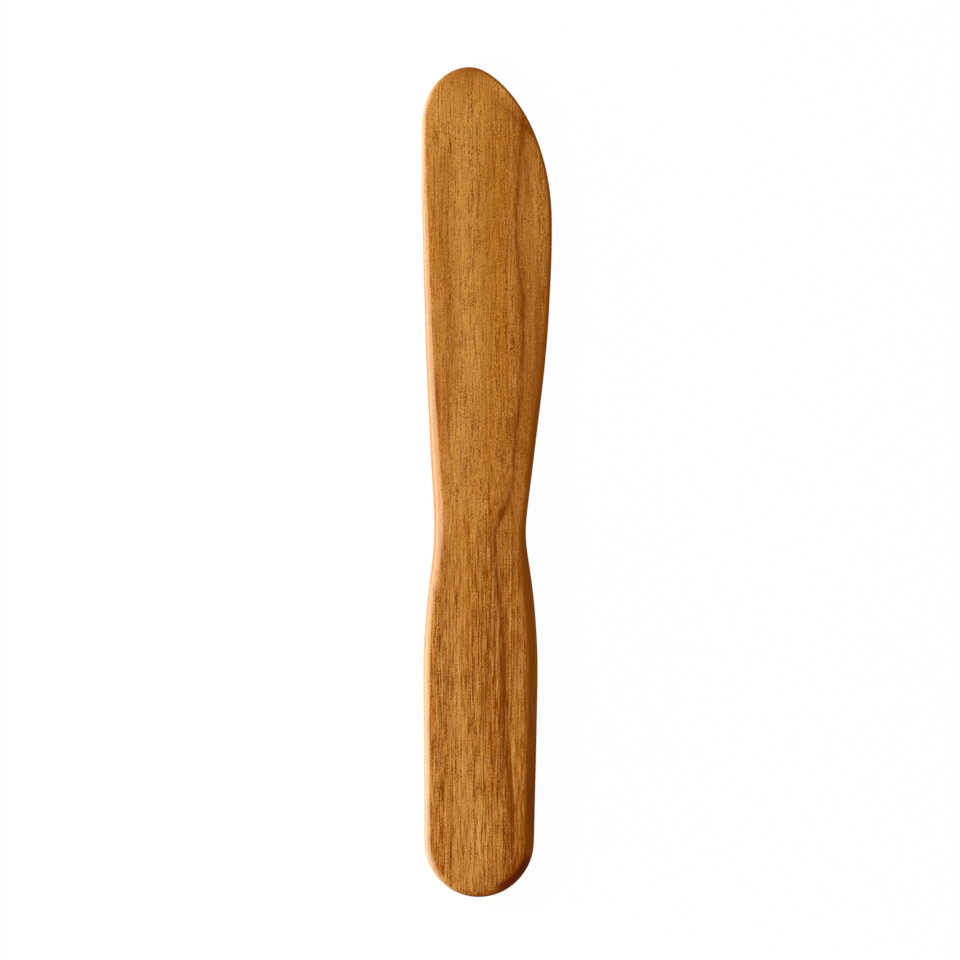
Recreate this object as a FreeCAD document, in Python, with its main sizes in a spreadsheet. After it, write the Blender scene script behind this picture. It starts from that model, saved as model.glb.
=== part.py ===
"""Butter knife: one piece of wood with a flat handle, a waist and a thin blade with a round tip.

Lengths are in millimetres. In the plan of the knife the spine of the blade lies along x = 0 and
the cutting edge is on the +x side, y runs from the butt of the handle to the tip of the blade,
and z = 0 is the middle of the wood. The finished knife is then moved to lie on the flat face of
its handle, with the origin under the middle of its outline.
"""
import FreeCAD, Part
import math
import os
import Sketcher

NODE = "butter_knife"

# name: (value, what it measures)
SIZES = {
    # lengths along the knife
    "handle_length": (74.5, "butt to the waist"),
    "blade_length": (95.5, "waist to the tip"),
    "shoulder_drop": (29.0, "waist back to the widest place of the handle"),
    "waist_skew": (1.3, "how much higher the waist lies on the spine side"),
    "belly_drop": (32.0, "tip back to the fullest place of the cutting edge"),
    "spine_drop": (13.0, "tip back to the top of the straight spine"),
    "flank_length": (25.0, "straight run of the edge between waist and belly"),
    # widths across the knife
    "handle_width": (23.45, "handle at its widest"),
    "spine_waist_depth": (2.25, "waist cut in from the handle, spine side"),
    "edge_waist_depth": (2.5, "waist cut in from the handle, edge side"),
    "spine_rise": (2.6, "spine standing out from the waist"),
    "belly_swell": (5.4, "belly of the edge standing out from the waist"),
    "spine_butt_taper": (0.2, "butt standing in from the handle, spine side"),
    "edge_butt_taper": (0.8, "butt standing in from the handle, edge side"),
    "tip_reach": (10.0, "spine line across to the top of the tip"),
    # curves of the outline
    "spine_waist_radius": (65.0, "hollow of the waist, spine side"),
    "edge_waist_radius": (25.0, "hollow of the waist, edge side"),
    "belly_pull": (20.9, "how far the belly runs on upwards before it turns in"),
    "tip_edge_pull": (5.0, "how far the tip runs on sideways, edge side"),
    "tip_spine_pull": (3.0, "how far the tip runs on sideways, spine side"),
    "spine_pull": (10.8, "how far the spine runs on upwards before it turns in"),
    # thickness
    "handle_thickness": (8.0, "handle between its flat faces"),
    "fall_start": (2.0, "waist back to where the faces begin to fall"),
    "scoop_length": (24.0, "curved fall from the handle to the blade"),
    "spine_root_thickness": (5.2, "blade where the fall ends, on the spine line"),
    "edge_root_thickness": (4.0, "blade where the fall ends, on the edge line"),
    "spine_tip_thickness": (3.0, "blade at the tip, on the spine line"),
    "edge_tip_thickness": (1.2, "blade at the tip, on the edge line"),
    # rounding of the rim
    "handle_round": (1.9, "rim of the handle"),
    "spine_waist_round": (2.0, "rim of the waist, spine side"),
    "edge_waist_round": (1.1, "rim of the waist, edge side"),
    "flank_round": (1.7, "rim at the top of the straight flank"),
    "belly_round": (0.8, "rim at the fullest place of the edge"),
    "tip_round": (0.7, "rim of the tip"),
    "spine_round": (1.1, "rim at the top of the straight spine"),
}

# places worked out from the sizes, as formulas of the sheet
HANDLE_LEFT = "(Sizes.spine_rise - Sizes.spine_waist_depth)"
HANDLE_RIGHT = f"({HANDLE_LEFT} + Sizes.handle_width)"
WAIST_LEFT = "Sizes.spine_rise"
WAIST_RIGHT = f"({HANDLE_RIGHT} - Sizes.edge_waist_depth)"
BLADE_WIDTH = f"({WAIST_RIGHT} + Sizes.belly_swell)"
LENGTH = "(Sizes.handle_length + Sizes.blade_length)"
SHOULDER_Y = "(Sizes.handle_length - Sizes.shoulder_drop)"
EDGE_WAIST_Y = "Sizes.handle_length"
SPINE_WAIST_Y = "(Sizes.handle_length + Sizes.waist_skew)"
BELLY_Y = f"({LENGTH} - Sizes.belly_drop)"
SPINE_TOP_Y = f"({LENGTH} - Sizes.spine_drop)"
BUTT_RADIUS = "((Sizes.handle_width - Sizes.spine_butt_taper - Sizes.edge_butt_taper) / 2)"
BUTT_X = f"({HANDLE_LEFT} + Sizes.spine_butt_taper + {BUTT_RADIUS})"
FACE_Z = "(Sizes.handle_thickness / 2)"
FALL_Y = "(Sizes.handle_length - Sizes.fall_start)"
ROOT_Y = f"({FALL_Y} + Sizes.scoop_length)"
MIDDLE_X = f"((min(0; {HANDLE_LEFT}) + max({BLADE_WIDTH}; {HANDLE_RIGHT})) / 2)"

# how far the shape that thins the blade reaches past the wood
CLEAR = 5.0

# the rim may take this much of half the wood's thickness
RIM_SHARE = 0.8

# how a sketch numbers the ends and the centre of a curve, and its own two axes
START, END, CENTRE = range(1, 4)
H_AXIS, V_AXIS = range(-1, -3, -1)
ORIGIN = (H_AXIS, START)


def make_sheet(doc):
    """The driving sizes, one plain number to a cell."""
    sheet = doc.addObject("Spreadsheet::Sheet", "Sizes")
    for row, (name, (value, meaning)) in enumerate(SIZES.items(), start=1):
        sheet.set(f"A{row}", meaning)
        sheet.set(f"B{row}", str(value))
        sheet.setAlias(f"B{row}", name)
    doc.recompute()
    return sheet


def base_plane(body, role):
    """One of the three planes at the body's own origin."""
    return next(plane for plane in body.Origin.OriginFeatures if plane.Role == role)


def new_sketch(body, name, role):
    """An empty sketch on one of the body's base planes."""
    sketch = body.newObject("Sketcher::SketchObject", name)
    sketch.AttachmentSupport = (base_plane(body, role), [""])
    sketch.MapMode = "FlatFace"
    return sketch


def reader(item):
    """A function that works out a formula of the sheet, or passes a plain number on."""
    return lambda formula: float(item.evalExpression(str(formula)))


def measure(sketch, name, formula, kind, *places):
    """A named dimension of the sketch that follows the sheet."""
    index = sketch.addConstraint(Sketcher.Constraint(kind, *places, reader(sketch)(formula)))
    sketch.renameConstraint(index, name)
    sketch.setExpression(f"Constraints.{name}", formula)


def place(sketch, name, point, x_formula, y_formula):
    """Two dimensions that place a point from the sketch's origin."""
    measure(sketch, name + "_x", x_formula, "DistanceX", *ORIGIN, *point)
    measure(sketch, name + "_y", y_formula, "DistanceY", *ORIGIN, *point)


def tie(sketch, kind, *places):
    """A constraint without a size."""
    return sketch.addConstraint(Sketcher.Constraint(kind, *places))


def spot(x, y):
    """A point in the plane of a sketch."""
    return FreeCAD.Vector(x, y, 0)


def arc(centre, start, end):
    """The circular arc about a centre, counter-clockwise from start to end."""
    first = math.atan2(start.y - centre.y, start.x - centre.x)
    last = math.atan2(end.y - centre.y, end.x - centre.x)
    if last < first:
        last += 2 * math.pi
    circle = Part.Circle(centre, FreeCAD.Vector(0, 0, 1), (start - centre).Length)
    return Part.ArcOfCircle(circle, first, last)


def tangent_ends(first, radius, second, other_radius, side):
    """Ends of the line that touches two circles. A negative radius is a hollow: the line crosses."""
    along = second - first
    lean = (radius - other_radius) / along.Length
    along.normalize()
    across = spot(-along.y, along.x)
    normal = along * lean + across * (side * math.sqrt(max(0.0, 1 - lean * lean)))
    return first + normal * radius, second + normal * other_radius


def swell_radius(step, rise, run, hollow):
    """Radius of the round that meets a hollow, a step across and a rise away, past a straight run."""
    return (step**2 + rise**2 - run**2) / (2 * step) - hollow


def add_extreme(sketch, name, curve, x_formula, y_formula):
    """The outermost or innermost point of an arc, where the outline runs straight along the knife."""
    value = reader(sketch)
    point = sketch.addGeometry(Part.Point(spot(value(x_formula), value(y_formula))), True)
    place(sketch, name, (point, START), x_formula, y_formula)
    tie(sketch, "PointOnObject", point, START, curve)
    tie(sketch, "Horizontal", point, START, curve, CENTRE)


def add_sweep(sketch, poles):
    """A free curve through four control points; gives the curve and its control circles."""
    curve = sketch.addGeometry(Part.BSplineCurve(poles, None, None, False, 3, None, False), False)
    circles = []
    for index, pole in enumerate(poles):
        circle = sketch.addGeometry(Part.Circle(pole, FreeCAD.Vector(0, 0, 1), 1.0), True)
        if circles:
            tie(sketch, "Equal", circles[0], circle)
        else:
            tie(sketch, "Weight", circle, 1.0)
        tie(sketch, "InternalAlignment:Sketcher::BSplineControlPoint", circle, CENTRE, curve, index)
        circles.append(circle)
    return curve, circles


def add_pull(sketch, name, kind, level, circle, other):
    """Keeps a control point straight along or across from the end it pulls, at its named length."""
    tie(sketch, level, circle, CENTRE, other, CENTRE)
    measure(sketch, name, f"Sizes.{name}", kind, circle, CENTRE, other, CENTRE)


def draw_outline(body):
    """The plan of the knife: one closed line of tangent arcs, straights and two free sweeps."""
    sketch = new_sketch(body, "Outline", "XY_Plane")
    value = reader(sketch)
    left, right = value(HANDLE_LEFT), value(HANDLE_RIGHT)
    waist_left, waist_right = value(WAIST_LEFT), value(WAIST_RIGHT)
    width, length = value(BLADE_WIDTH), value(LENGTH)
    shoulder_y, belly_y, top_y = value(SHOULDER_Y), value(BELLY_Y), value(SPINE_TOP_Y)
    edge_y, spine_y = value(EDGE_WAIST_Y), value(SPINE_WAIST_Y)
    edge_hollow = value("Sizes.edge_waist_radius")
    spine_hollow = value("Sizes.spine_waist_radius")
    butt_radius = value(BUTT_RADIUS)

    # rounds that follow from the hollows they meet
    flank = value("Sizes.flank_length")
    edge_shoulder = swell_radius(right - waist_right, edge_y - shoulder_y, 0, edge_hollow)
    spine_shoulder = swell_radius(waist_left - left, spine_y - shoulder_y, 0, spine_hollow)
    belly = swell_radius(width - waist_right, belly_y - edge_y, flank, edge_hollow)
    spine = swell_radius(waist_left, top_y - spine_y, 0, spine_hollow)

    # their centres
    butt_c = spot(value(BUTT_X), butt_radius)
    edge_shoulder_c = spot(right - edge_shoulder, shoulder_y)
    edge_waist_c = spot(waist_right + edge_hollow, edge_y)
    belly_c = spot(width - belly, belly_y)
    spine_c = spot(spine, top_y)
    spine_waist_c = spot(waist_left - spine_hollow, spine_y)
    spine_shoulder_c = spot(left + spine_shoulder, shoulder_y)

    # where they meet
    butt_right, side_right = tangent_ends(butt_c, butt_radius, edge_shoulder_c, edge_shoulder, -1)
    waist_foot, _ = tangent_ends(edge_shoulder_c, edge_shoulder, edge_waist_c, -edge_hollow, -1)
    flank_foot, flank_top = tangent_ends(edge_waist_c, edge_hollow, belly_c, -belly, 1)
    crest = spot(width, belly_y)
    tip = spot(value("Sizes.tip_reach"), length)
    spine_top = spot(0, top_y)
    spine_foot, _ = tangent_ends(spine_c, spine, spine_waist_c, -spine_hollow, -1)
    shoulder_top, _ = tangent_ends(spine_waist_c, spine_hollow, spine_shoulder_c, -spine_shoulder, 1)
    side_left, butt_left = tangent_ends(spine_shoulder_c, spine_shoulder, butt_c, butt_radius, -1)

    # the line itself, counter-clockwise from the butt
    draw = lambda shape: sketch.addGeometry(shape, False)
    butt = draw(arc(butt_c, butt_left, butt_right))
    edge_side = draw(Part.LineSegment(butt_right, side_right))
    edge_round = draw(arc(edge_shoulder_c, side_right, waist_foot))
    edge_waist = draw(arc(edge_waist_c, flank_foot, waist_foot))
    flank_line = draw(Part.LineSegment(flank_foot, flank_top))
    belly_round = draw(arc(belly_c, flank_top, crest))
    belly_pole = crest + spot(0, value("Sizes.belly_pull"))
    edge_pole = tip + spot(value("Sizes.tip_edge_pull"), 0)
    belly_sweep, belly_poles = add_sweep(sketch, [crest, belly_pole, edge_pole, tip])
    tip_pole = tip - spot(value("Sizes.tip_spine_pull"), 0)
    spine_pole = spine_top + spot(0, value("Sizes.spine_pull"))
    spine_sweep, spine_poles = add_sweep(sketch, [tip, tip_pole, spine_pole, spine_top])
    spine_line = draw(arc(spine_c, spine_top, spine_foot))
    spine_waist = draw(arc(spine_waist_c, shoulder_top, spine_foot))
    spine_round = draw(arc(spine_shoulder_c, shoulder_top, side_left))
    spine_side = draw(Part.LineSegment(side_left, butt_left))

    joints = [
        (butt, END, edge_side, START),
        (edge_side, END, edge_round, START),
        (edge_round, END, edge_waist, END),
        (edge_waist, START, flank_line, START),
        (flank_line, END, belly_round, START),
        (spine_line, END, spine_waist, END),
        (spine_waist, START, spine_round, START),
        (spine_round, END, spine_side, START),
        (spine_side, END, butt, START),
    ]
    for joint in joints:
        tie(sketch, "Tangent", *joint)
    tie(sketch, "Coincident", belly_round, END, belly_sweep, START)
    tie(sketch, "Coincident", belly_sweep, END, spine_sweep, START)
    tie(sketch, "Coincident", spine_sweep, END, spine_line, START)

    # butt and handle
    place(sketch, "butt", (butt, CENTRE), BUTT_X, BUTT_RADIUS)
    measure(sketch, "butt_radius", BUTT_RADIUS, "Radius", butt)
    add_extreme(sketch, "edge_shoulder", edge_round, HANDLE_RIGHT, SHOULDER_Y)
    add_extreme(sketch, "spine_shoulder", spine_round, HANDLE_LEFT, SHOULDER_Y)

    # waist
    add_extreme(sketch, "edge_waist", edge_waist, WAIST_RIGHT, EDGE_WAIST_Y)
    add_extreme(sketch, "spine_waist", spine_waist, WAIST_LEFT, SPINE_WAIST_Y)
    measure(sketch, "edge_hollow", "Sizes.edge_waist_radius", "Radius", edge_waist)
    measure(sketch, "spine_hollow", "Sizes.spine_waist_radius", "Radius", spine_waist)

    # cutting edge
    measure(sketch, "flank", "Sizes.flank_length", "Distance", flank_line)
    place(sketch, "belly", (belly_round, END), BLADE_WIDTH, BELLY_Y)
    tie(sketch, "Horizontal", belly_round, CENTRE, belly_round, END)

    # spine
    tie(sketch, "PointOnObject", spine_line, START, V_AXIS)
    measure(sketch, "spine_top", SPINE_TOP_Y, "DistanceY", *ORIGIN, spine_line, START)
    tie(sketch, "Horizontal", spine_line, CENTRE, spine_line, START)

    # tip, with each sweep leaving its neighbour along the knife or across it
    place(sketch, "tip", (belly_sweep, END), "Sizes.tip_reach", LENGTH)
    add_pull(sketch, "belly_pull", "DistanceY", "Vertical", belly_poles[0], belly_poles[1])
    add_pull(sketch, "tip_edge_pull", "DistanceX", "Horizontal", belly_poles[3], belly_poles[2])
    add_pull(sketch, "tip_spine_pull", "DistanceX", "Horizontal", spine_poles[1], spine_poles[0])
    add_pull(sketch, "spine_pull", "DistanceY", "Vertical", spine_poles[3], spine_poles[2])
    return sketch


def thickness_at(spine_size, edge_size, x_formula):
    """Formula of a blade thickness across the knife, from its sizes on the spine and edge lines."""
    return f"({spine_size} + ({edge_size} - {spine_size}) * {x_formula} / {BLADE_WIDTH})"


def draw_fall(body, name, x_formula):
    """Side view of what is cut from the upper face: a fall of two equal arcs, then a taper."""
    sketch = new_sketch(body, name, "YZ_Plane")
    sketch.setExpression("AttachmentOffset.Base.z", x_formula)
    root_z = thickness_at("Sizes.spine_root_thickness", "Sizes.edge_root_thickness", x_formula) + " / 2"
    tip_z = thickness_at("Sizes.spine_tip_thickness", "Sizes.edge_tip_thickness", x_formula) + " / 2"
    value = reader(sketch)
    fall_y, root_y, tip_y = value(FALL_Y), value(ROOT_Y), value(LENGTH)
    face, root, tip = value(FACE_Z), value(root_z), value(tip_z)
    slope = (root - tip) / (tip_y - root_y)

    # first guess of the fall, closed on the real one by the constraints
    run, drop = root_y - fall_y, face - root
    radius = run**2 / (4 * drop)
    middle = spot((fall_y + root_y) / 2, (face + root) / 2)
    start, foot = spot(fall_y, face), spot(root_y, root)
    far = spot(tip_y + CLEAR, tip - slope * CLEAR)
    roof_far, roof_near = spot(tip_y + CLEAR, face + CLEAR), spot(fall_y, face + CLEAR)
    draw = lambda shape: sketch.addGeometry(shape, False)
    crown = draw(arc(start - spot(0, radius), middle, start))
    hollow = draw(arc(foot + spot(0, radius), middle, foot))
    taper = draw(Part.LineSegment(foot, far))
    end = draw(Part.LineSegment(far, roof_far))
    roof = draw(Part.LineSegment(roof_far, roof_near))
    back = draw(Part.LineSegment(roof_near, start))
    tip_mark = sketch.addGeometry(Part.Point(spot(tip_y, tip)), True)

    tie(sketch, "Tangent", crown, START, hollow, START)
    tie(sketch, "Tangent", hollow, END, taper, START)
    tie(sketch, "Equal", crown, hollow)
    tie(sketch, "Coincident", taper, END, end, START)
    tie(sketch, "Coincident", end, END, roof, START)
    tie(sketch, "Coincident", roof, END, back, START)
    tie(sketch, "Coincident", back, END, crown, END)
    tie(sketch, "Vertical", crown, CENTRE, crown, END)
    tie(sketch, "Vertical", end)
    tie(sketch, "Horizontal", roof)
    tie(sketch, "Vertical", back)
    place(sketch, "start", (crown, END), FALL_Y, FACE_Z)
    place(sketch, "root", (taper, START), ROOT_Y, root_z)
    place(sketch, "tip", (tip_mark, START), LENGTH, tip_z)
    tie(sketch, "PointOnObject", tip_mark, START, taper)
    place(sketch, "roof", (roof, START), f"{LENGTH} + {CLEAR}", f"{FACE_Z} + {CLEAR}")
    return sketch


def make_blank(doc):
    """The knife with sharp rims: a board sawn to the outline, its blade thinned on both faces."""
    body = doc.addObject("PartDesign::Body", "Blank")
    pad = body.newObject("PartDesign::Pad", "Board")
    pad.Profile = draw_outline(body)
    pad.SideType = "Symmetric"
    pad.setExpression("Length", "Sizes.handle_thickness")
    doc.recompute()
    board_volume = body.Shape.Volume

    spine_fall = draw_fall(body, "SpineFall", f"(-{CLEAR})")
    edge_fall = draw_fall(body, "EdgeFall", f"({BLADE_WIDTH} + {CLEAR})")
    upper = body.newObject("PartDesign::SubtractiveLoft", "UpperFall")
    upper.Profile = spine_fall
    upper.Sections = [edge_fall]
    upper.Ruled = True
    doc.recompute()
    thinned_volume = body.Shape.Volume

    lower = body.newObject("PartDesign::Mirrored", "LowerFall")
    lower.Originals = [upper]
    lower.MirrorPlane = (base_plane(body, "XY_Plane"), [""])
    body.Tip = lower
    doc.recompute()
    print(f"board {board_volume:.1f}, upper face thinned {thinned_volume:.1f}, "
          f"both {body.Shape.Volume:.1f} cubic mm")
    return body


def half_thickness(value, x, y):
    """Half the wood's thickness at a place in the plan, which limits the rim there."""
    face, root_y, tip_y = value(FACE_Z), value(ROOT_Y), value(LENGTH)
    if y <= value(FALL_Y):
        return face
    root = value(thickness_at("Sizes.spine_root_thickness", "Sizes.edge_root_thickness", x)) / 2
    tip = value(thickness_at("Sizes.spine_tip_thickness", "Sizes.edge_tip_thickness", x)) / 2
    if y < root_y:
        share = (y - value(FALL_Y)) / (root_y - value(FALL_Y))
        return face + (root - face) * share
    return root + (tip - root) * (y - root_y) / (tip_y - root_y)


def rim_radius(value, x, y):
    """Radius of the rounded rim at a point of the outline, between the named places along it."""
    handle = value("Sizes.handle_round")
    if x > value(BLADE_WIDTH) / 2:
        flank_top = value(EDGE_WAIST_Y) + value("Sizes.flank_length")
        stations = [
            (value(SHOULDER_Y), handle),
            (value(EDGE_WAIST_Y), value("Sizes.edge_waist_round")),
            (flank_top, value("Sizes.flank_round")),
            (value(BELLY_Y), value("Sizes.belly_round")),
            (value(LENGTH), value("Sizes.tip_round")),
        ]
    else:
        stations = [
            (value(SHOULDER_Y), handle),
            (value(SPINE_WAIST_Y), value("Sizes.spine_waist_round")),
            (value(SPINE_TOP_Y), value("Sizes.spine_round")),
            (value(LENGTH), value("Sizes.tip_round")),
        ]
    radius = handle
    for (low_y, low), (high_y, high) in zip(stations, stations[1:]):
        if y > low_y:
            share = min(1.0, (y - low_y) / (high_y - low_y))
            radius = low + (high - low) * share
    return min(radius, RIM_SHARE * half_thickness(value, x, y))


def is_rim(edge, shape):
    """Whether an edge lies between a wall of the outline and one of the two broad faces."""
    middle = edge.valueAt((edge.FirstParameter + edge.LastParameter) / 2)
    upright = []
    for face in shape.ancestorsOfType(edge, Part.Face):
        normal = face.normalAt(*face.Surface.parameter(middle))
        upright.append(abs(normal.z) > 0.5)
    return len(upright) == 2 and upright[0] != upright[1]


def turns_forward(start, end, middle):
    """Whether a run of the outline goes counter-clockwise about the middle of the knife."""
    to_start, to_end = start - middle, end - middle
    return to_start.x * to_end.y - to_start.y * to_end.x > 0


def round_rim(doc, blank):
    """The whole rim sanded round. Each edge runs from one radius to the next along the outline."""
    value = reader(doc.Sizes)
    middle = FreeCAD.Vector(value(MIDDLE_X), value(LENGTH) / 2, 0)
    rims = []
    for number, edge in enumerate(blank.Shape.Edges, start=1):
        if is_rim(edge, blank.Shape):
            start, end = edge.firstVertex(True).Point, edge.lastVertex(True).Point
            if not turns_forward(start, end, middle):
                start, end = end, start
            first, last = rim_radius(value, start.x, start.y), rim_radius(value, end.x, end.y)
            rims.append((number, first, last))
    knife = doc.addObject("Part::Fillet", "Knife")
    knife.Label = NODE
    knife.Base = blank
    knife.Edges = rims
    radii = [radius for _, first, last in rims for radius in (first, last)]
    print(f"{len(rims)} rim edges rounded, radius {min(radii):.2f} to {max(radii):.2f} mm")
    return knife


def lay_down(knife):
    """The knife lies on its flat handle, with the origin under the middle of its outline."""
    knife.setExpression("Placement.Base.x", f"-({MIDDLE_X})")
    knife.setExpression("Placement.Base.y", f"-{LENGTH} / 2")
    knife.setExpression("Placement.Base.z", FACE_Z)


def check(doc, knife):
    """Stops when any object failed or the knife isn't one sound solid."""
    for item in doc.Objects:
        if "Invalid" in item.State or "Error" in item.State:
            raise RuntimeError(f"{item.Label} failed: {item.State}")
    shape = knife.Shape
    if shape.isNull() or not shape.isValid() or len(shape.Solids) != 1:
        raise RuntimeError(f"{knife.Label} isn't one valid solid")
    box = shape.optimalBoundingBox(False)
    print(f"{knife.Label}: x {box.XMin:.2f} to {box.XMax:.2f}, y {box.YMin:.2f} to {box.YMax:.2f}, "
          f"z {box.ZMin:.2f} to {box.ZMax:.2f}, {shape.Volume:.0f} cubic mm, {len(shape.Faces)} faces")


def main():
    """Builds the knife and writes it."""
    doc = FreeCAD.newDocument("ButterKnife")
    make_sheet(doc)
    knife = round_rim(doc, make_blank(doc))
    lay_down(knife)
    doc.recompute()
    check(doc, knife)
    os.makedirs("parts", exist_ok=True)
    knife.Shape.exportStep(f"parts/{knife.Label}.step")


main()
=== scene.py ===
# %% [markdown]
# # A butter knife carved from one piece of wood
#
# The real knife is sawn from a board. Its blade is thinned on both faces, every rim is sanded
# round, and the wood is oiled. This lesson models it in the same order: the flat blank, the
# thickness, the rounded rim, and then the wood itself as a material that runs right through.
# A last part sets the floor, the light and the camera.

# %% Load the frame
import bmesh
import bpy
import math
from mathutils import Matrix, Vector


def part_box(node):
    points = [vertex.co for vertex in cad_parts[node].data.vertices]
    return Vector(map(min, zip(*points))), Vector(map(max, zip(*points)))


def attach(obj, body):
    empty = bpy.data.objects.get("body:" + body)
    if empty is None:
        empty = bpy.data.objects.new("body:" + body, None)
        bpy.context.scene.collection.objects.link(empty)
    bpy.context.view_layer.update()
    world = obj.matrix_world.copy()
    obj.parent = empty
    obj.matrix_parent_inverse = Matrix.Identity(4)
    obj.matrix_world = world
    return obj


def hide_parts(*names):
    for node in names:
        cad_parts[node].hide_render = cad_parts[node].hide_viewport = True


MM = 0.001

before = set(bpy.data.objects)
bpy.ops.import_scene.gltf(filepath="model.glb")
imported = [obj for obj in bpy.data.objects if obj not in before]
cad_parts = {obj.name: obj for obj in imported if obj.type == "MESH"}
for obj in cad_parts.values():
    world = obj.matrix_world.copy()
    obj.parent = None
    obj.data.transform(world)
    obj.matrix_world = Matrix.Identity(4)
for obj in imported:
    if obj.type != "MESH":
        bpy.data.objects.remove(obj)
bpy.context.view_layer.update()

# %% [markdown]
# ## Measuring the solid
#
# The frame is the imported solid, and the new knife has to have the same outline. The outline
# could be typed in again as a list of points, but then it would be written in two places.
# Here a ray is sent from inside the wood towards the rim, half way up its thickness, and the
# distance at which it leaves the solid is the reach of the outline in that direction.

# %% Find the reach of the outline
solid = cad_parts["butter_knife"]
solid_low, solid_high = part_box("butter_knife")
middle = (solid_low.z + solid_high.z) / 2


def reach(x, y, angle):
    """How far the outline is from a place inside it, in one direction."""
    start = Vector((x, y, middle))
    heading = Vector((math.cos(angle), math.sin(angle), 0))
    found, hit, _, _ = solid.ray_cast(start, heading)
    if not found:
        raise RuntimeError("the ray started outside the wood")
    return (hit - start).length


HANDLE_Y = -50.0 * MM
print("half the handle is", round(reach(0, HANDLE_Y, 0) / MM, 2), "mm to the right of x = 0")

# %% [markdown]
# ## The blank
#
# On the real knife this is the board, sawn to its outline. A filled outline could be drawn as
# a curve, but its fill is one face that can't be thinned or shaded well. A grid of four-sided
# faces can. So the blank starts as a straight grid, and half of each end row is spun half a
# turn to close the grid with a round end. Then each row, and each spoke of the round ends, is
# scaled until it reaches the outline.

# %% Add the straight grid
MIDLINE = -2.4 * MM
BUTT_ROW = -73.8 * MM
TIP_ROW = 71.0 * MM
HALF = 10.0 * MM
COLUMNS = 6
ROWS = 56

bpy.ops.object.select_all(action="DESELECT")
bpy.ops.mesh.primitive_grid_add(x_subdivisions=COLUMNS, y_subdivisions=ROWS, size=2 * HALF)
knife = bpy.context.active_object
knife.name = "carved_knife"
bpy.ops.object.mode_set(mode="EDIT")
bpy.ops.mesh.select_mode(type="VERT")
stretch = (TIP_ROW - BUTT_ROW) / (2 * HALF)
bpy.ops.transform.resize(value=(1, stretch, 1), center_override=(0, 0, 0))
bpy.ops.transform.translate(value=(MIDLINE, (TIP_ROW + BUTT_ROW) / 2, 0))
print("grid of", COLUMNS, "by", ROWS, "faces")


# %% Spin the round ends
SPOKES = 28
TOUCH = 0.01 * MM


def pick(where):
    """Selects the vertices whose place passes a test, and nothing else."""
    bpy.ops.mesh.select_all(action="DESELECT")
    shape = bmesh.from_edit_mesh(knife.data)
    for vertex in shape.verts:
        vertex.select = bool(where(vertex.co))
    shape.select_flush(True)
    bmesh.update_edit_mesh(knife.data)


for row, turn in ((BUTT_ROW, math.pi), (TIP_ROW, -math.pi)):
    pick(lambda place: abs(place.y - row) < TOUCH and place.x > MIDLINE - TOUCH)
    bpy.ops.mesh.spin(steps=SPOKES, angle=turn, center=(MIDLINE, row, 0), axis=(0, 0, 1))
bpy.ops.mesh.select_all(action="SELECT")
bpy.ops.mesh.remove_doubles(threshold=TOUCH)
print("blank with round ends:", len(bmesh.from_edit_mesh(knife.data).verts), "vertices")

# %% Scale every row and spoke to the outline
IN_LINE = 1 - 1e-6


def fit(row, angle):
    """Scales the line of vertices that leaves the midline at an angle until it meets the rim."""
    heading = Vector((math.cos(angle), math.sin(angle), 0))
    centre = Vector((MIDLINE, row, 0))
    pick(lambda place: (place - centre).length > TOUCH
         and (place - centre).normalized().dot(heading) > IN_LINE)
    share = reach(MIDLINE, row, angle) / HALF
    bpy.ops.transform.resize(value=(share, share, 1), center_override=tuple(centre))


for step in range(ROWS + 1):
    row = BUTT_ROW + (TIP_ROW - BUTT_ROW) * step / ROWS
    fit(row, 0)
    fit(row, math.pi)
for step in range(1, SPOKES):
    fit(BUTT_ROW, -math.pi * step / SPOKES)
    fit(TIP_ROW, math.pi * step / SPOKES)
bpy.ops.object.mode_set(mode="OBJECT")
print("fitted blank:", [round(value / MM, 2) for value in knife.dimensions], "mm")

# %% [markdown]
# ## The thickness
#
# The handle is as thick as the board. Past the waist both faces fall in a soft S to the blade,
# which then gets thinner towards its tip, and is thinner along the cutting edge than along the
# spine. The blank is extruded to the full board, and then every vertex is drawn towards the
# middle of the wood. A lattice could do that too, but a formula keeps the sizes readable. A
# hand-sanded face is never quite flat, so the middle of each face stands up a little.

# %% Extrude the board
BOARD = 8.0 * MM

bpy.ops.object.mode_set(mode="EDIT")
bpy.ops.mesh.select_all(action="SELECT")
bpy.ops.mesh.extrude_region_move(TRANSFORM_OT_translate={"value": (0, 0, BOARD)})
bpy.ops.mesh.select_all(action="SELECT")
bpy.ops.mesh.normals_make_consistent(inside=False)
bpy.ops.object.mode_set(mode="OBJECT")
print("board:", round(BOARD / MM, 1), "mm thick")

# %% Thin the blade
FALL_START, FALL_END = -12.5 * MM, 11.5 * MM
TIP_END = 85.0 * MM
SPINE_X, EDGE_X = -13.35 * MM, 13.35 * MM
ROOT_SPINE, ROOT_EDGE = 5.2 * MM, 4.0 * MM
TIP_SPINE, TIP_EDGE = 3.0 * MM, 1.2 * MM
HANDLE_CROWN, BLADE_CROWN = 0.06 * MM, 0.22 * MM
CROWN_FALL = 3
WAIST_Y = -10.5 * MM


def between(low, high, share):
    """The value a share of the way from one to the other."""
    return low + (high - low) * share


def soft_step(value, low, high):
    """0 before low, 1 after high, and a curve of two equal arcs between."""
    share = min(1, max(0, (value - low) / (high - low)))
    return 2 * share ** 2 if share < 0.5 else 1 - 2 * (1 - share) ** 2


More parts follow.
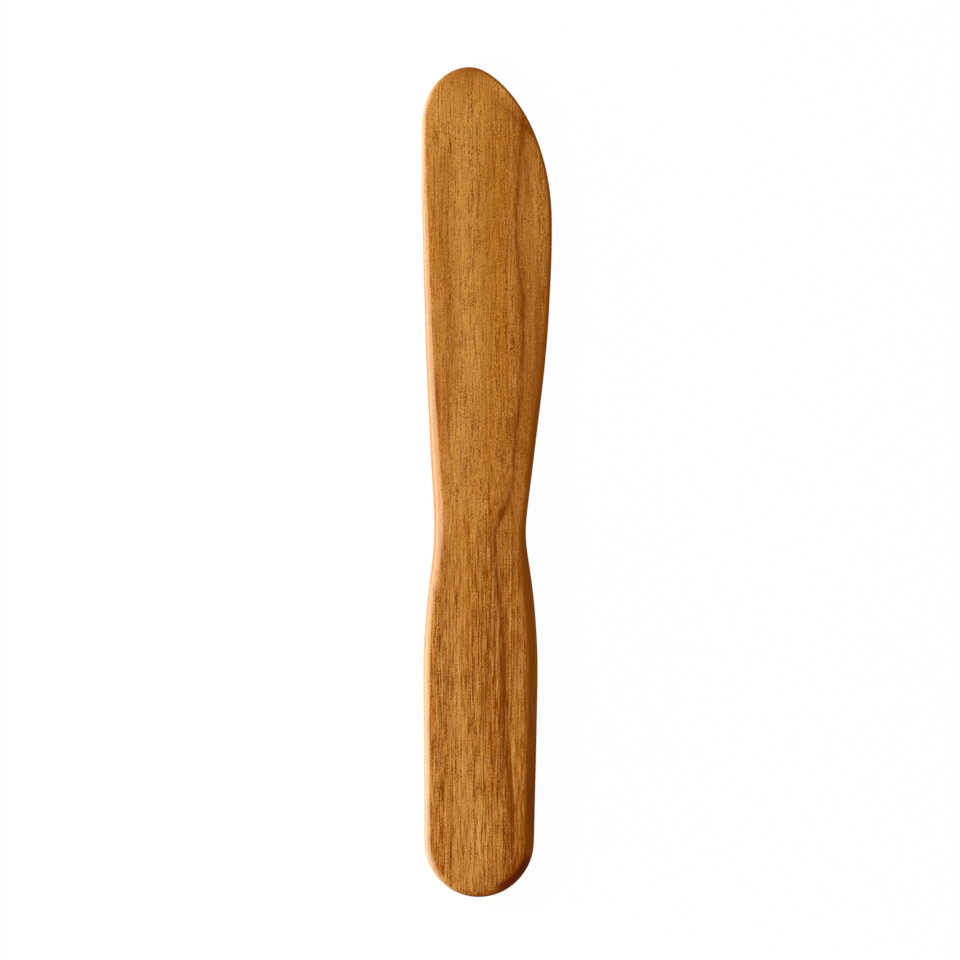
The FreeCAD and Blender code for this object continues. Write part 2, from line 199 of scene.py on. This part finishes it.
def thickness(x, y):
    """Thickness of the wood at a place in the plan."""
    across = (x - SPINE_X) / (EDGE_X - SPINE_X)
    upwards = (y - FALL_END) / (TIP_END - FALL_END)
    root, tip = between(ROOT_SPINE, ROOT_EDGE, across), between(TIP_SPINE, TIP_EDGE, across)
    fall = soft_step(y, FALL_START, FALL_END)
    crown = between(HANDLE_CROWN, BLADE_CROWN, fall) * (1 - CROWN_FALL * (x / EDGE_X) ** 2)
    return between(BOARD, between(root, tip, upwards), fall) + crown


for vertex in knife.data.vertices:
    side = 1 if vertex.co.z > middle else -1
    vertex.co.z = middle + side * thickness(vertex.co.x, vertex.co.y) / 2
print("thickness at the waist, root and tip:",
      [round(thickness(0, y) / MM, 2) for y in (WAIST_Y, FALL_END, TIP_END)], "mm")

# %% [markdown]
# ## The rounded rim
#
# Sandpaper takes more off the handle than off the blade, and not the same off the two sides.
# The side that will cut has a flat chamfer along the handle, and the spine is a soft round.
# The Bevel modifier gives each rim edge its own width, through the edge's bevel weight, but
# one profile for all. So it is used for the loops of faces alone, and each loop is then let
# down by a formula: a straight slope where the roundness is 1, and a quarter of an ellipse
# where it is 2. Values between two measured places are mixed.

# %% Measure the rim along each side
# place along the knife, width and depth of the rounding in mm, and its roundness
SPINE_RIM = [
    (-84.8, 1.2, 0.9, 1.9), (-81, 1.9, 1.3, 1.9), (-25, 2.0, 1.5, 1.8), (-10, 2.4, 1.8, 1.5),
    (6, 2.2, 1.6, 1.5), (33, 2.1, 1.3, 1.6), (50, 1.7, 1.1, 1.5), (62, 1.6, 0.9, 1.8),
    (80, 1.5, 0.7, 1.9),
]
EDGE_RIM = [
    (-84.8, 1.5, 1.4, 1.3), (-81, 2.15, 2.0, 1.08), (-20, 2.25, 2.0, 1.08), (-12, 1.7, 1.6, 1.6),
    (-5, 1.3, 1.2, 2.0), (1, 1.3, 1.3, 1.6), (10, 1.4, 1.2, 1.25), (24, 1.2, 0.7, 1.4),
    (45, 0.9, 0.6, 1.6), (60, 0.8, 0.6, 1.7), (80, 0.7, 0.5, 1.8),
]
WALL_LEFT = 0.16


def rim_room(x, y):
    """The most that the rim may take off one face, so that a share of the wall is left."""
    return (1 - WALL_LEFT) * thickness(x, y) / 2


def rim_at(x, y):
    """Width, depth and roundness of the rim at a place on the outline, mixed from both sides."""
    sides = []
    for stations in (SPINE_RIM, EDGE_RIM):
        values = stations[0][1:]
        for low, high in zip(stations, stations[1:]):
            share = min(1, (y / MM - low[0]) / (high[0] - low[0]))
            if share > 0:
                values = [between(*pair, share) for pair in zip(low[1:], high[1:])]
        sides.append(values)
    share = soft_step(x, MIDLINE - HALF / 2, MIDLINE + HALF / 2)
    width, depth, roundness = [between(*pair, share) for pair in zip(*sides)]
    return width * MM, min(depth * MM, rim_room(x, y)), roundness


handle_rims = [rim_at(x, HANDLE_Y)[0] for x in (MIDLINE - HALF, MIDLINE + HALF)]
print("the handle's rims are", [round(width / MM, 2) for width in handle_rims], "mm wide")

# %% Add the loops of the rim
RIM_STEPS = 5
RIM_MOST = 2.4 * MM
RIM_FOLD = math.radians(60)


def finish_with(kind, **settings):
    """Adds a modifier to the knife, sets it up and applies it."""
    bpy.ops.object.modifier_add(type=kind)
    modifier = knife.modifiers[-1]
    for name, value in settings.items():
        setattr(modifier, name, value)
    bpy.ops.object.modifier_apply(modifier=modifier.name)


bpy.ops.object.mode_set(mode="EDIT")
shape = bmesh.from_edit_mesh(knife.data)
weight = shape.edges.layers.float.new("bevel_weight_edge")
rims = [edge for edge in shape.edges if edge.calc_face_angle() > RIM_FOLD]
for edge in rims:
    spot = (edge.verts[0].co + edge.verts[1].co) / 2
    edge[weight] = min(rim_at(spot.x, spot.y)[0], rim_room(spot.x, spot.y)) / RIM_MOST
bmesh.update_edit_mesh(knife.data)
bpy.ops.object.mode_set(mode="OBJECT")
finish_with("BEVEL", limit_method="WEIGHT", width=RIM_MOST, segments=RIM_STEPS, profile=0.5,
            use_clamp_overlap=False)
print(len(rims), "rim edges, and", len(knife.data.polygons), "faces")

# %% Let each loop down to its height
FLAT_CORE = 0.3 * HALF
LEVELS = 2

for vertex in knife.data.vertices:
    spot = vertex.co
    centre = Vector((MIDLINE, min(max(spot.y, BUTT_ROW), TIP_ROW), 0))
    out = Vector((spot.x, spot.y, 0)) - centre
    if out.length < FLAT_CORE:
        continue
    inwards = max(0, reach(centre.x, centre.y, math.atan2(out.y, out.x)) - out.length)
    width, depth, roundness = rim_at(spot.x, spot.y)
    share = max(0, 1 - inwards / width)
    drop = depth * (1 - (1 - share ** roundness) ** (1 / roundness))
    side = 1 if spot.z > middle else -1
    spot.z = middle + side * (thickness(spot.x, spot.y) / 2 - drop)
finish_with("SUBSURF", levels=LEVELS, render_levels=LEVELS)
print("smoothed:", len(knife.data.polygons), "faces,",
      [round(value / MM, 2) for value in knife.dimensions], "mm")

# %% [markdown]
# ## The marks of sanding by hand
#
# No face that was sanded by hand is quite even. The unevenness could be painted on as bump, but
# then the outline of a highlight would show it and the shape wouldn't. A Displace modifier with
# wide, soft clouds moves the wood itself by less than a tenth of a millimetre.

# %% Leave the faces slightly uneven
HOLLOWS_WIDE = 14 * MM
HOLLOWS_DEEP = 0.10 * MM

sanding = bpy.data.textures.new("sanding", type="CLOUDS")
sanding.noise_scale = HOLLOWS_WIDE
sanding.noise_depth = 1
finish_with("DISPLACE", texture=sanding, texture_coords="LOCAL", strength=HOLLOWS_DEEP, mid_level=0.5)
bpy.ops.object.shade_smooth()
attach(knife, "root")
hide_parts("butter_knife")
print("knife:", 2 * len(knife.data.polygons), "triangles")

# %% [markdown]
# ## Writing material maths as sums
#
# The wood is built from hundreds of small nodes. Placing them one by one hides the idea, so one
# small class wraps a socket. Adding, multiplying or subtracting two of these wires adds the
# Math node, and every other node comes from one method, which is told the node's type, its
# settings and what its sockets are fed with.


# %% The wire class
class Wire:
    """A socket in a material. Python's + - * / on it add Math nodes."""

    def __init__(self, tree, socket=None):
        self.tree = tree
        self.socket = socket

    def node(self, kind, settings=None, feeds=None, output=0):
        """Adds a node of any kind to the same material, and gives one of its outputs."""
        made = self.tree.nodes.new(kind)
        for name, value in (settings or {}).items():
            if name == "stops":
                set_stops(made.color_ramp.elements, value)
            elif name == "spots":
                set_spots(made.mapping, value)
            else:
                setattr(made, name, value)
        for name, value in (feeds or {}).items():
            if isinstance(value, Wire):
                self.tree.links.new(value.socket, made.inputs[name])
            else:
                made.inputs[name].default_value = value
        return Wire(self.tree, made.outputs[output])

    def into(self, shader, name):
        """Links this wire to a socket of a shader."""
        self.tree.links.new(self.socket, shader.inputs[name])

    def math(self, operation, *others):
        """A Math node whose first value is this wire."""
        return self.node("ShaderNodeMath", {"operation": operation}, dict(enumerate((self, *others))))

    def __add__(self, other):
        return self.math("ADD", other)

    __radd__ = __add__

    def __mul__(self, other):
        return self.math("MULTIPLY", other)

    __rmul__ = __mul__

    def __sub__(self, other):
        return self.math("SUBTRACT", other)

    def __rsub__(self, other):
        return self.node("ShaderNodeMath", {"operation": "SUBTRACT"}, {0: other, 1: self})

    def __truediv__(self, other):
        return self.math("DIVIDE", other)

    def __rtruediv__(self, other):
        return self.node("ShaderNodeMath", {"operation": "DIVIDE"}, {0: other, 1: self})

    def step(self, low, high):
        """0 below low, 1 above high, with soft ends. Low may be the larger of the two."""
        feeds = {"Value": self, "From Min": low, "From Max": high}
        return self.node("ShaderNodeMapRange", {"interpolation_type": "SMOOTHSTEP"}, feeds)

    def hill(self, centre, width):
        """1 where the value is at the centre, falling softly to near 0 two widths away."""
        near = (self - centre) / width
        return (near * near * -1).math("EXPONENT")


print("wires are ready")

# %% Settings that are lists: the stops of a ramp and the spots of a curve


def set_stops(elements, stops):
    """Gives a colour ramp its stops, each a place from 0 to 1 and a colour."""
    for index, (share, colour) in enumerate(stops):
        stop = elements[index] if index < 2 else elements.new(share)
        stop.position = share
        stop.color = (*colour, 1)


def set_spots(mapping, spots):
    """Gives a curve its spots, each a place and a height from 0 to 1."""
    curve = mapping.curves[0]
    curve.points[0].location = spots[0]
    curve.points[1].location = spots[-1]
    for spot in spots[1:-1]:
        curve.points.new(*spot)
    mapping.update()


print("ramps and curves can be set")

# %% [markdown]
# ## The wood
#
# The wood is warm brown, open-pored and oiled. A picture of wood wrapped round the knife would
# stretch on the rim, so the material is solid instead: it gives every point in space the wood
# that is there, and the knife is cut out of it. Lengths in the material are in millimetres.

# %% Places in the wood
MM_IN_A_METRE = 1000

wood = bpy.data.materials.new("oiled_open_pored_wood")
wood.use_nodes = True
surface = wood.node_tree.nodes["Principled BSDF"]
board = Wire(wood.node_tree)


def part_of(vector, axis):
    """One of the three numbers of a vector."""
    return vector.node("ShaderNodeSeparateXYZ", None, {0: vector}, output="XYZ".index(axis))


position = board.node("ShaderNodeTexCoord", output="Object")
x_mm, y_mm, z_mm = [part_of(position, axis) * MM_IN_A_METRE for axis in "XYZ"]


def noise(x, y, z, detail=2.0, rough=0.5):
    """A noise value, 0 to 1, at a place given by three wires."""
    spot = x.node("ShaderNodeCombineXYZ", None, {0: x, 1: y, 2: z})
    feeds = {"Vector": spot, "Scale": 1.0, "Detail": detail, "Roughness": rough}
    return spot.node("ShaderNodeTexNoise", {"noise_type": "FBM"}, feeds)


print("the wood is measured along x, y and z")

# %% [markdown]
# ## Growth rings
#
# The rings of the trunk lie as sheets that lean across the board. So where the blade is thinner
# a ring shows further to the right, just as on the real knife, and the rim shows it too. A
# Wave texture could draw rings, but all alike. Here a curve leads the darkest ring up the knife,
# the others keep their distance from it, and a ramp gives each its own tone.

# %% Where the dark ring runs
LENGTH_MM = 170
FACE_HEIGHT = 8.0
LEAN = 2.1
SHIVER, WANDER = 0.9, 0.6
# share of the length from the butt, and centimetres to the right of the middle
RING_PATH = [
    (0.0, 0.57), (0.062, 0.55), (0.091, 0.56), (0.12, 0.555), (0.149, 0.48), (0.178, 0.41),
    (0.25, 0.37), (0.32, 0.33), (0.378, 0.235), (0.411, 0.20), (0.436, 0.20), (0.450, 0.25),
    (0.461, 0.305), (0.473, 0.36), (0.487, 0.39), (0.502, 0.37), (0.525, 0.29), (0.555, 0.25),
    (0.60, 0.29), (0.66, 0.31), (0.71, 0.27), (0.75, 0.20), (0.80, 0.09), (0.86, 0.10),
    (0.91, 0.13), (1.0, 0.18),
]
MM_IN_A_CENTIMETRE = 10

from_butt = (y_mm + LENGTH_MM / 2) / LENGTH_MM
path = board.node("ShaderNodeFloatCurve", {"spots": RING_PATH}, {"Value": from_butt}) * MM_IN_A_CENTIMETRE
shiver = (noise(x_mm * 0.3, y_mm * 0.6, z_mm * 0.3, detail=3.0) - 0.5) * SHIVER
wander = (noise(x_mm * 0.02, y_mm * 0.10, z_mm * 0.02) - 0.5) * WANDER
ring = x_mm + (z_mm - FACE_HEIGHT) * LEAN - (path + wander) + shiver
print("the dark ring follows", len(RING_PATH), "places")

# %% The tone of each ring
# millimetres to the right of the dark ring, and the colour of the wood there; the tones right of the ring
# are darker, partly the wood's own tone and partly painted shade on the knife's right half
RING_TONES = [
    (-34.0, (0.370, 0.105, 0.009)), (-25.0, (0.440, 0.160, 0.022)), (-21.0, (0.360, 0.100, 0.009)),
    (-20.6, (0.480, 0.190, 0.030)), (-18.0, (0.500, 0.200, 0.030)), (-14.6, (0.440, 0.152, 0.017)),
    (-11.5, (0.580, 0.245, 0.045)), (-9.2, (0.560, 0.225, 0.039)), (-7.6, (0.500, 0.185, 0.024)),
    (-4.2, (0.455, 0.150, 0.011)), (-1.2, (0.350, 0.094, 0.002)), (-0.2, (0.320, 0.080, 0.001)),
    (0.6, (0.410, 0.130, 0.011)), (2.5, (0.415, 0.130, 0.010)), (4.2, (0.385, 0.118, 0.007)),
    (5.4, (0.430, 0.138, 0.012)), (9.0, (0.360, 0.100, 0.007)), (12.0, (0.420, 0.135, 0.012)),
]
first_ring, last_ring = RING_TONES[0][0], RING_TONES[-1][0]
stops = [((side - first_ring) / (last_ring - first_ring), colour) for side, colour in RING_TONES]
ring_share = (ring - first_ring) / (last_ring - first_ring)
bare_wood = board.node("ShaderNodeValToRGB", {"stops": stops}, {"Fac": ring_share})
print("the rings have", len(RING_TONES), "tones")

# %% [markdown]
# ## Grain
#
# Under a lens the wood is a bundle of fibres with open pores between them. Each kind of mark is
# noise that is drawn out along the knife, with a number of waves a millimetre across and along.
# One noise with more detail would be quicker, but all its marks would have the same shape. The
# numbers called shift only keep two kinds of mark from falling in the same places.

# %% Fibres, needles, hairs and pores
WAVER = 0.8

waver = (noise(x_mm * 0.20, y_mm * 0.05, z_mm * 0.20) - 0.5) * WAVER


def streaks(across, lengthwise, detail=2.0, rough=0.5, shift=0.0):
    """Noise drawn out along the knife."""
    return noise((x_mm + waver) * across + shift, y_mm * lengthwise, z_mm * across, detail, rough)


bands = streaks(0.34, 0.008)
fibres = streaks(1.9, 0.045, detail=3.0, rough=0.65)
needles = streaks(4.0, 0.23, detail=1.0, shift=7.0)
hairs = streaks(4.2, 0.030, detail=1.0, shift=43.0)
speckle = streaks(4.6, 2.6, detail=1.0, shift=31.0)
porous = streaks(0.42, 0.012, detail=1.0, shift=12.0).step(0.44, 0.60)
broken = streaks(2.4, 0.22, shift=57.0).step(0.36, 0.58)
vessels = streaks(1.05, 0.012, rough=0.6, shift=83.0).hill(0.5, 0.020)
pores = vessels * broken * (0.30 + 0.70 * porous)
print("five kinds of grain, and pores")

# %% How strong the grain is
# the handle keeps a coarser surface than the blade, so its marks are longer and darker
HANDLE_FROM, HANDLE_FULL = 4, -20

grip = y_mm.step(HANDLE_FROM, HANDLE_FULL)
grain = (needles - 0.5) * (3.1 + grip * 1.0) + (speckle - 0.5) * (4.5 - grip * 1.4)
grain = grain + (fibres - 0.5) * (2.6 + grip * 0.3) + (hairs - 0.5) * (0.6 + grip * 2.2)
grain = grain * (0.72 + 0.28 * porous) * (0.76 + 0.34 * grip)
print("the grain is stronger below y =", HANDLE_FROM, "mm")

# %% [markdown]
# ## Streaks that stand out
#
# Every piece of wood has streaks of its own, such as the short dark one at the waist, or the
# clear patch at the tip. Chance doesn't put them where the real knife has them, so each of the
# larger ones is a soft hill at its own place on the face, broken up by the finer grain.

# %% Place the streaks
# place on the face, half its length, half its width, its strength, and how far it leans
DARK_STREAKS = [
    (-10.1, 17.0, 5.5, 0.50, 1.00, -0.07), (-9.2, -27.0, 8.0, 0.40, 0.60), (-0.5, -44.0, 4.0, 0.35, 0.60),
    (10.3, 27.0, 12.0, 0.65, 0.70), (9.2, 5.0, 9.0, 0.60, 0.66), (8.3, 62.0, 5.0, 0.40, 0.60),
    (9.4, 18.5, 6.0, 0.80, 0.50), (3.0, -6.5, 1.5, 0.65, 1.70, 0.25), (-9.4, -12.5, 5.0, 1.30, 0.85),
    (5.4, -8.5, 8.0, 1.90, 0.34), (6.2, 74.0, 3.0, 1.20, 0.50, -0.93), (9.1, 71.9, 1.5, 1.20, 1.10, -0.60),
    (5.6, -17.5, 3.5, 0.90, 0.40), (2.9, -60.5, 3.0, 0.60, 0.45), (1.2, -80.5, 2.0, 1.50, 0.45),
    (-7.0, -50.5, 2.5, 1.00, 0.40), (6.0, -36.0, 3.0, 0.70, 0.50), (-2.8, 13.0, 3.0, 1.30, 0.32),
    (-5.0, 2.5, 5.0, 1.30, 0.30), (4.9, -67.0, 5.0, 0.50, 0.55, -0.08), (3.4, -35.0, 4.0, 0.45, 0.45, 0.05),
    (7.5, 4.0, 5.0, 0.80, 0.28), (9.2, 48.0, 4.5, 0.80, 0.28), (3.4, 77.5, 2.0, 1.80, 0.16),
]
LIGHT_STREAKS = [
    (-9.8, 76.0, 8.5, 3.40, 0.95), (-2.2, 77.0, 6.5, 2.80, 0.90), (2.6, 80.3, 2.6, 2.40, 1.00, -0.60),
    (9.5, 56.0, 10.0, 3.60, 0.50), (5.0, 40.0, 26.0, 1.30, 0.50), (-1.8, -6.5, 7.0, 1.90, 0.55),
    (-1.1, -73.5, 9.0, 2.20, 1.10), (-10.0, -30.0, 5.0, 0.90, 0.95), (4.4, 3.5, 3.0, 0.80, 0.55),
    (-2.6, -62.0, 5.0, 1.20, 0.35), (-1.8, -36.5, 4.0, 1.40, 0.60), (-7.6, -68.5, 3.5, 2.00, 0.28),
    (7.6, 30.5, 4.5, 1.00, 0.32), (6.0, 19.5, 4.5, 0.90, 0.30), (-3.8, -43.0, 4.0, 0.90, 0.40),
    (-2.0, -50.5, 3.0, 1.80, 0.28), (2.7, -32.5, 4.5, 0.80, 0.35), (2.7, -71.0, 3.0, 0.70, 0.35),
]


def streak(x, y, length, width, strength, lean=0.0):
    """A soft hill round a place on the face, drawn out along the knife."""
    side = (x_mm + waver * 0.6 - x - (y_mm - y) * lean) / width
    end = (y_mm - y) / length
    return ((side * side + end * end) * -1).math("EXPONENT") * strength


def together(spots):
    """The sum of several streaks."""
    total = streak(*spots[0])
    for spot in spots[1:]:
        total = total + streak(*spot)
    return total


stained = together(DARK_STREAKS) * (0.45 + 0.55 * needles.step(0.35, 0.65))
cleared = together(LIGHT_STREAKS)
print(len(DARK_STREAKS), "dark streaks and", len(LIGHT_STREAKS), "light ones")

# %% Draw the edge of the dark ring
# a thin line that comes and goes, in a soft band that is always there
dashes = streaks(1.7, 0.30, shift=19.0).step(0.40, 0.58)
line = ring.hill(-0.25, 0.34) * (0.36 + 0.64 * dashes) * (0.66 + 0.42 * grip)
line = line + ring.hill(-0.4, 1.2) * (0.15 + 0.06 * grip)
print("the dark ring has a broken line at its edge")

# %% [markdown]
# ## Rims and ends
#
# The right rim, which turns away from the window, gets painted shade, and so does the
# lower right corner of the butt. The spine's rim, which faces the window, gets painted light,
# a paler tone and a light yellow painted highlight, and it is worn smooth. The end grain of both
# ends is darker and redder. These tones belong to the surface, not to the wood inside. They could
# be painted on the mesh as an attribute, but the way that the surface faces already tells a rim
# from a face, so each mask is made from that and from the place along the knife.

# %% Tell the rims from the faces
facing = board.node("ShaderNodeTexCoord", output="Normal")
to_edge = part_of(facing, "X")
to_tip = part_of(facing, "Y")
to_spine = to_edge * -1
off_wall = part_of(facing, "Z").math("ABSOLUTE").step(0.02, 0.30)
neck = y_mm.hill(2, 30)

# how far the surface turns away from the window on the left; the rims turned most get painted shade,
# deepest along the handle
turned = to_edge + to_tip.math("ABSOLUTE") * 0.22
shaded_rim = turned.step(0.09, 0.44) * (0.45 + 0.35 * off_wall)
deep_shaded_rim = turned.step(0.35, 0.75) * y_mm.hill(-65, 9)
# the rim that faces the window gets a glossier coat, and painted light: a paler tone and a light yellow
# painted highlight, strongest on its outermost edge
polish_and_painted_light = to_spine.step(0.17, 0.62) * off_wall
painted_highlight = polish_and_painted_light * (y_mm.step(-12, -45) * 0.24 + y_mm.step(56, 76) * 0.24)
edge_highlight = to_spine.step(0.80, 1.0) * off_wall * (0.60 - neck * 0.30)
# the rim on the right gets painted shade, the rim on the left a coat and painted light
print("masks for the oiled rim on the right and the worn one on the left")

# %% Tell the two ends from the rest
reddened = y_mm.step(66, 82) * (x_mm.step(1, 7) * 0.36 + 0.14) + y_mm.step(-70, -84) * 0.30 + grip * 0.28
end_grain = (to_tip + y_mm.step(66, 84) * 0.9).step(0.3, 1.3) * x_mm.hill(-2.6, 4.4)
tip_rim = y_mm.step(81.8, 84.6) * x_mm.hill(-3.2, 4.5)
butt_rim = (to_tip * -1).step(0.50, 0.85)
print("masks for the end grain at the tip and the butt")

# %% The painted shade in the lower right corner of the butt
# measured from the centre of the butt's round, in the plan
BUTT_X, BUTT_Y = -1.2, -73.3

butt_x = x_mm - BUTT_X
butt_y = y_mm - BUTT_Y
butt_r = (butt_x * butt_x + butt_y * butt_y).math("SQRT")
butt_band = butt_r.step(10.3, 11.0) * (butt_y * -1 / butt_r).step(0.87, 0.96)
corner = (butt_x * butt_y * -1 / (butt_r * butt_r)).step(0.20, 0.42) * butt_x.step(0, 2)
# painted shade where the butt's rim turns right and down, away from the window
shaded_corner = corner * butt_r.step(8.9, 10.0) * (1 - butt_r.step(10.2, 11.6) * 0.20)
ends_dark = tip_rim * 0.40 + butt_rim * 0.34 + butt_band * 0.42
print("masks for the crescent and the dark bands of both ends")

# %% [markdown]
# ## Laying colour on colour
#
# A painter who copies wood starts with its middle tone and glazes the rest over it, one thin
# coat after another. The material does the same. Each coat is a mask, a strength and a colour,
# and a Mix node lays it over what is there, so the order of the coats matters: the grain comes
# before the rims, because the painted shade and painted light of the rims lie on top of it.

# %% Mix the colours
LIGHT = (0.700, 0.360, 0.105, 1)
CLEAR = (0.660, 0.285, 0.050, 1)
# the next two are painted light for the rim that faces the window
HIGHLIGHT_CREAM = (0.580, 0.460, 0.270, 1)
LIT_PALE = (0.600, 0.330, 0.090, 1)
RED = (0.400, 0.115, 0.005, 1)
# painted shade for the rim turned away from the window
SHADE_BROWN = (0.405, 0.092, 0.000, 1)
DARK = (0.205, 0.041, 0.001, 1)
PORE = (0.150, 0.036, 0.002, 1)
# deeper painted shade, on the handle's right rim and in the butt's lower right corner
DEEP_SHADE_BROWN = (0.165, 0.014, 0.000, 1)
FACTOR, UNDER, OVER, MIXED = 0, 6, 7, 2


def glaze(tone, coats):
    """Lays coats of colour over a tone, each a mask, a strength and a colour."""
    for mask, strength, colour in coats:
        feeds = {FACTOR: mask * strength, UNDER: tone, OVER: colour}
        tone = mask.node("ShaderNodeMix", {"data_type": "RGBA"}, feeds, output=MIXED)
    return tone


print("nine colours are mixed")

# %% Colour the grain, and then the rims
grained = glaze(bare_wood, [
    (reddened, 1.0, RED),
    (cleared, 1.0, CLEAR),
    (ring.hill(-1.2, 2.2) * grip, 0.22, DARK),
    (0.50 - bands, 1.1, DARK),
    (bands - 0.52, 0.9, LIGHT),
    (grain, -1.0, DARK),
    (grain, 0.50, LIGHT),
    (line, 1.0, DARK),
    (stained, 1.0, DARK),
    (pores * (0.56 + 0.14 * grip), 1.0, PORE),
])
oiled_wood_with_painted_light = glaze(grained, [
    # painted shade on the rim turned away from the window, deepest along the handle
    (shaded_rim, 1.0, SHADE_BROWN),
    (deep_shaded_rim, 0.40, DEEP_SHADE_BROWN),
    (end_grain, 0.75, RED),
    # painted light on the rim that faces the window, with painted shade that tones it down at the neck
    (polish_and_painted_light, 0.50, LIT_PALE),
    (painted_highlight + edge_highlight, 1.0, HIGHLIGHT_CREAM),
    (polish_and_painted_light * neck, 0.40, RED),
    (ends_dark, 1.0, DARK),
    # painted shade in the butt's lower right corner
    (shaded_corner, 0.94, DEEP_SHADE_BROWN),
])
oiled_wood_with_painted_light.into(surface, "Base Color")
print("the wood has its colour")

# %% [markdown]
# ## Sheen and relief
#
# Oil soaks in, so the faces have only a dull sheen, and the worn rim has more. What differs over
# the surface is linked: roughness by the fibres and pores, and a coat on the worn rim. What is
# the same everywhere is set on the shader itself. The pores are far too fine to model, so a
# bump follows the same fibres, needles and pores that the colour does.

# %% Set the sheen and the relief
RELIEF = 0.00012

roughness = 0.42 + (fibres - 0.5) * 0.25 + pores * 0.15
roughness.into(surface, "Roughness")
polish_and_painted_light.into(surface, "Coat Weight")
for name, value in (("Specular IOR Level", 0.02), ("Coat Roughness", 0.32), ("Coat IOR", 1.6)):
    surface.inputs[name].default_value = value
height = fibres * 0.4 + speckle * 0.3 + needles * 0.5 - pores * 0.6
feeds = {"Height": height, "Strength": 0.6, "Distance": RELIEF}
board.node("ShaderNodeBump", None, feeds).into(surface, "Normal")
knife.data.materials.clear()
knife.data.materials.append(wood)
print("wood nodes:", len(wood.node_tree.nodes))

# %% [markdown]
# ## The floor
#
# The knife lies on a plain pale floor. A lit floor would come out grey, and more light would
# spoil the wood's colour. So to the camera, to a mirror and to glass the floor is plain white
# with only a small share of the real shading, which is enough for the knife's shadow. For the
# light that bounces it is pale paper.


# %% Lay the floor
def background_ray(start):
    """1 for what the camera, a mirror or glass sees directly, and 0 for light that bounces."""
    seen = [start.node("ShaderNodeLightPath", output=name)
            for name in ("Is Camera Ray", "Is Glossy Ray", "Is Transmission Ray")]
    return start.node("ShaderNodeClamp", None, {"Value": seen[0] + seen[1] + seen[2]})


FLOOR_SIZE = 6.0
SHADOW_SHARE = 0.020
PAPER_COLOUR = (0.86, 0.86, 0.86, 1)

bpy.ops.mesh.primitive_plane_add(size=FLOOR_SIZE, location=(0, 0, 0))
floor = bpy.context.active_object
floor.name = "floor"
paper = bpy.data.materials.new("pale_floor")
paper.use_nodes = True
sheet = Wire(paper.node_tree)
lit = paper.node_tree.nodes["Principled BSDF"]
for name, value in (("Base Color", PAPER_COLOUR), ("Roughness", 0.9), ("Specular IOR Level", 0.0)):
    lit.inputs[name].default_value = value
white = sheet.node("ShaderNodeEmission")
seen_white = background_ray(sheet) * (1 - SHADOW_SHARE)
feeds = {0: seen_white, 1: Wire(paper.node_tree, lit.outputs[0]), 2: white}
sheet.node("ShaderNodeMixShader", None, feeds).into(paper.node_tree.nodes["Material Output"], "Surface")
floor.data.materials.append(paper)
print("the floor shows", SHADOW_SHARE, "of its shading")

# %% [markdown]
# ## The light
#
# The light is a large soft window on the left, a low strip that catches the left rim, and a weak
# glow all round, so the right rim falls into shade. One strong lamp could do it, but it would
# draw a hard shadow. The lamps stay at a plain level, at which a colour comes out about as it
# is written.


# %% Hang the lamps
LAMP_AWAY = 0.75
LAMP_LENGTH = 0.95
GLOW = 0.34


def soft_light(name, elevation, width, power):
    """A rectangular lamp on the left, as long as the knife and more, that faces it."""
    tilt = math.radians(elevation)
    spot = Vector((-LAMP_AWAY * math.cos(tilt), 0, LAMP_AWAY * math.sin(tilt)))
    bpy.ops.object.light_add(type="AREA", location=spot)
    lamp = bpy.context.active_object
    lamp.name = name
    lamp.rotation_euler = (-spot).to_track_quat("-Z", "Y").to_euler()
    lamp.data.shape = "RECTANGLE"
    lamp.data.size = LAMP_LENGTH
    lamp.data.size_y = width
    lamp.data.energy = power
    lamp.visible_camera = False


soft_light("window", elevation=45, width=0.30, power=6.0)
soft_light("low_strip", elevation=9, width=0.18, power=5.0)
sky = bpy.data.worlds.new("sky")
sky.use_nodes = True
bpy.context.scene.world = sky
background = sky.node_tree.nodes["Background"]
background.inputs["Color"].default_value = (1, 1, 1, 1)
background.inputs["Strength"].default_value = GLOW

# %% [markdown]
# ## The camera
#
# The picture was taken from straight above, where no perspective shows. A camera with a long
# lens, high above the knife, sees it in the same way and still as a real camera would. Its
# height follows from the width of floor that the picture takes in.

# %% Hold the camera straight above
VIEW_WIDTH = 196.87 * MM
CENTRE_X, CENTRE_Y = -1.40 * MM, 0.25 * MM
LENS, SENSOR = 135.0, 36.0

distance = VIEW_WIDTH / 2 / (SENSOR / 2 / LENS)
bpy.ops.object.camera_add(location=(CENTRE_X, CENTRE_Y, middle + distance), rotation=(0, 0, 0))
camera = bpy.context.active_object
camera.data.lens = LENS
camera.data.sensor_width = SENSOR
bpy.context.scene.camera = camera
bpy.context.scene.view_settings.view_transform = "Standard"
print("camera", round(distance, 3), "m above the knife")
